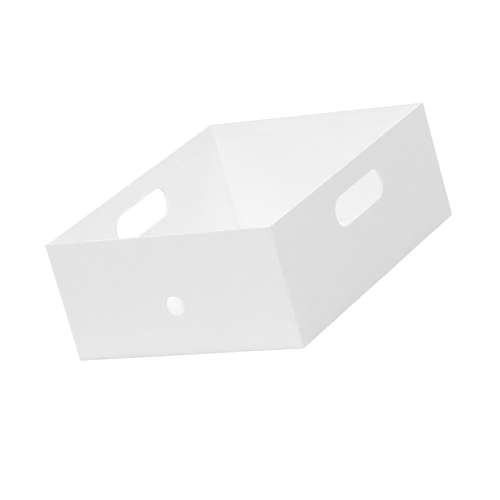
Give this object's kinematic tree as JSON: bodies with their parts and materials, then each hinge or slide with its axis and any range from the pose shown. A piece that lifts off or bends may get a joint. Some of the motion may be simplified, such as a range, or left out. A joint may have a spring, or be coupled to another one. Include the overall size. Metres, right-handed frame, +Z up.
{
  "type": "file storage box",
  "caption": "Open rectangular box for folders and papers, with an oblong hand slot in each long side wall and a round finger hole in the front wall.",
  "frame": {"origin": "centre of the underside, on the surface that the box stands on", "axes": "+X to the right along the front wall, +Y from the front wall to the back wall, +Z up"},
  "size_m": [0.252, 0.3213, 0.12],
  "materials": {
    "board": "solid board, white core",
    "wrap_paper": "matt white, uncoated",
    "lining_paper": "matt white, uncoated",
    "cover_paper": "matt white, uncoated",
    "stay_tape": "gummed tape, dull"
  },
  "bodies": {
    "root": {"base_board": "board", "front_board": "board", "back_board": "board", "left_board": "board", "right_board": "board", "front_left_corner_stay": "stay_tape", "front_right_corner_stay": "stay_tape", "back_left_corner_stay": "stay_tape", "back_right_corner_stay": "stay_tape", "outer_wrap": "wrap_paper", "wall_lining": "lining_paper", "base_lining": "lining_paper", "base_cover": "cover_paper"}
  },
  "joints": []
}
